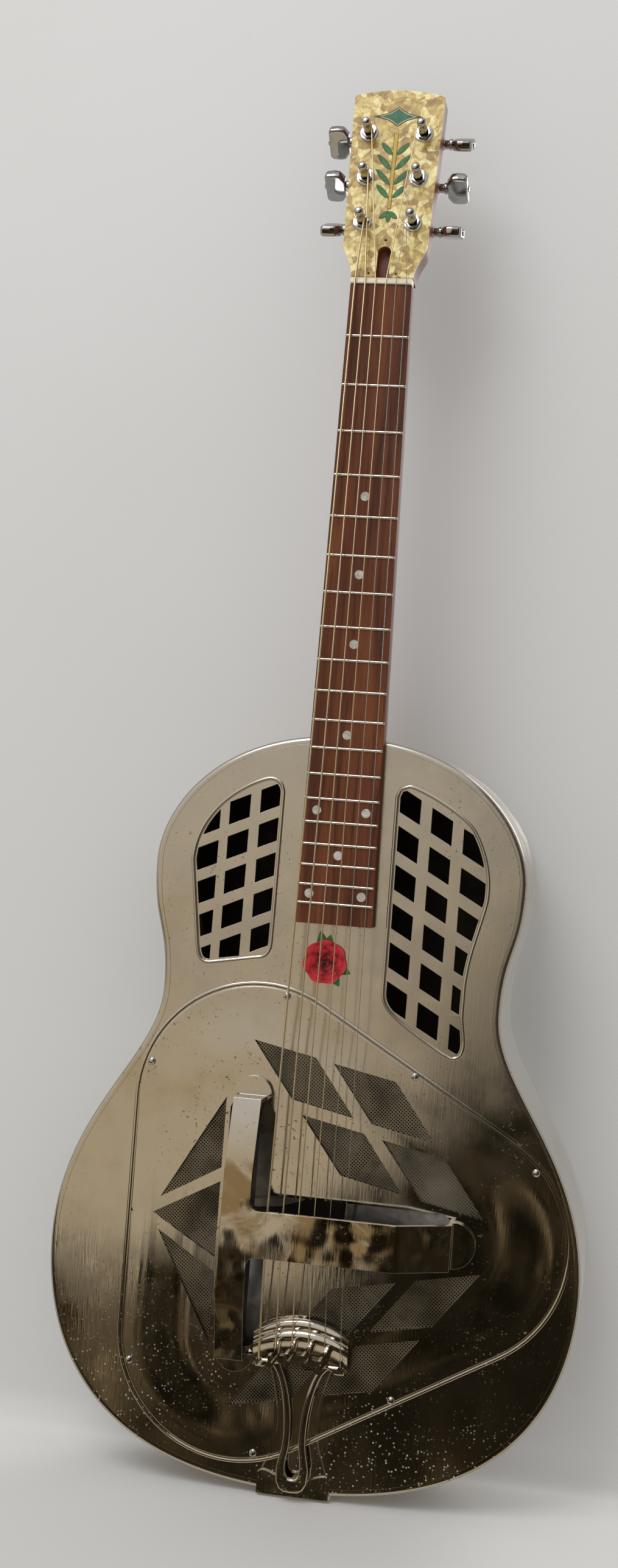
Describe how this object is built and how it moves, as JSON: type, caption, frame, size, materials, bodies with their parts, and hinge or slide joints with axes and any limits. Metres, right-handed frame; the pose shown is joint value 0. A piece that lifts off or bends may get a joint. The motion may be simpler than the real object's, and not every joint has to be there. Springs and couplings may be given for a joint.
{
  "type": "resonator guitar",
  "caption": "Metal-bodied resonator guitar with latticed soundholes, triangular coverplate, T-shaped palm rest, wooden neck and geared tuners.",
  "frame": {"origin": "centre of the bounding box, on the plane of its lowest point, the head of the screw at the tail", "axes": "+Z along the neck from the tail to the headstock, face toward -Y, +X to the treble side"},
  "size_m": [0.3678, 0.117, 0.9697],
  "materials": {
    "nickel": "worn nickel plate, satin to mirror",
    "chrome": "polished",
    "aluminium": "spun",
    "screen": "woven wire, dark",
    "rosewood": "oiled",
    "mahogany": "lacquered",
    "maple": "bare",
    "bone": "polished bone",
    "pearloid": "pearl-like, glossy",
    "bronze": "wound",
    "steel": "plain wire"
  },
  "bodies": {
    "guitar": {"body_sides": "nickel", "body_top": "nickel", "body_back": "nickel", "sound_well": "nickel", "cone_treble": "aluminium", "cone_bass_upper": "aluminium", "cone_bass_lower": "aluminium", "coverplate": "nickel", "screen_upper": "screen", "screen_lower": "screen", "screen_side": "screen", "cover_screw_1": "chrome", "cover_screw_2": "chrome", "cover_screw_3": "chrome", "cover_screw_4": "chrome", "cover_screw_5": "chrome", "cover_screw_6": "chrome", "cover_screw_7": "chrome", "t_bridge": "aluminium", "saddle": "maple", "palm_rest": "nickel", "neck": "mahogany", "neck_stick": "maple", "fretboard": "rosewood", "nut": "bone", "headstock_overlay": "pearloid", "tuner_1_housing": "chrome", "tuner_1_bushing": "chrome", "tuner_2_housing": "chrome", "tuner_2_bushing": "chrome", "tuner_3_housing": "chrome", "tuner_3_bushing": "chrome", "tuner_4_housing": "chrome", "tuner_4_bushing": "chrome", "tuner_5_housing": "chrome", "tuner_5_bushing": "chrome", "tuner_6_housing": "chrome", "tuner_6_bushing": "chrome", "string_1": "bronze", "string_2": "bronze", "string_3": "bronze", "string_4": "bronze", "string_5": "steel", "string_6": "steel", "tailpiece": "nickel", "tail_bracket": "nickel", "end_pin": "chrome"},
    "button_1": {"tuner_1_button": "chrome"},
    "post_1": {"tuner_1_post": "chrome"},
    "button_2": {"tuner_2_button": "chrome"},
    "post_2": {"tuner_2_post": "chrome"},
    "button_3": {"tuner_3_button": "chrome"},
    "post_3": {"tuner_3_post": "chrome"},
    "button_4": {"tuner_4_button": "chrome"},
    "post_4": {"tuner_4_post": "chrome"},
    "button_5": {"tuner_5_button": "chrome"},
    "post_5": {"tuner_5_post": "chrome"},
    "button_6": {"tuner_6_button": "chrome"},
    "post_6": {"tuner_6_post": "chrome"}
  },
  "joints": [
    {"name": "button_1_turn", "type": "hinge", "parent": "guitar", "child": "button_1", "pos_m": [-0.0296, -0.00321, 0.87376], "axis": [-1, 0, 0], "continuous": true},
    {"name": "post_1_turn", "type": "hinge", "parent": "guitar", "child": "post_1", "pos_m": [-0.0176, -0.02453, 0.87221], "axis": [0, -0.9903, 0.1392], "continuous": true},
    {"name": "button_2_turn", "type": "hinge", "parent": "guitar", "child": "button_2", "pos_m": [-0.0304, 0.00138, 0.90644], "axis": [-1, 0, 0], "continuous": true},
    {"name": "post_2_turn", "type": "hinge", "parent": "guitar", "child": "post_2", "pos_m": [-0.0184, -0.01994, 0.90489], "axis": [0, -0.9903, 0.1392], "continuous": true},
    {"name": "button_3_turn", "type": "hinge", "parent": "guitar", "child": "button_3", "pos_m": [-0.0312, 0.00598, 0.93912], "axis": [-1, 0, 0], "continuous": true},
    {"name": "post_3_turn", "type": "hinge", "parent": "guitar", "child": "post_3", "pos_m": [-0.0192, -0.01535, 0.93757], "axis": [0, -0.9903, 0.1392], "continuous": true},
    {"name": "button_4_turn", "type": "hinge", "parent": "guitar", "child": "button_4", "pos_m": [0.0296, -0.00321, 0.87376], "axis": [1, 0, 0], "continuous": true},
    {"name": "post_4_turn", "type": "hinge", "parent": "guitar", "child": "post_4", "pos_m": [0.0176, -0.02453, 0.87221], "axis": [0, -0.9903, 0.1392], "continuous": true},
    {"name": "button_5_turn", "type": "hinge", "parent": "guitar", "child": "button_5", "pos_m": [0.0304, 0.00138, 0.90644], "axis": [1, 0, 0], "continuous": true},
    {"name": "post_5_turn", "type": "hinge", "parent": "guitar", "child": "post_5", "pos_m": [0.0184, -0.01994, 0.90489], "axis": [0, -0.9903, 0.1392], "continuous": true},
    {"name": "button_6_turn", "type": "hinge", "parent": "guitar", "child": "button_6", "pos_m": [0.0312, 0.00598, 0.93912], "axis": [1, 0, 0], "continuous": true},
    {"name": "post_6_turn", "type": "hinge", "parent": "guitar", "child": "post_6", "pos_m": [0.0192, -0.01535, 0.93757], "axis": [0, -0.9903, 0.1392], "continuous": true}
  ],
  "couplings": [
    {"joint": "post_1_turn", "follows": "button_1_turn", "ratio": 0.071429},
    {"joint": "post_2_turn", "follows": "button_2_turn", "ratio": 0.071429},
    {"joint": "post_3_turn", "follows": "button_3_turn", "ratio": 0.071429},
    {"joint": "post_4_turn", "follows": "button_4_turn", "ratio": 0.071429},
    {"joint": "post_5_turn", "follows": "button_5_turn", "ratio": 0.071429},
    {"joint": "post_6_turn", "follows": "button_6_turn", "ratio": 0.071429}
  ]
}
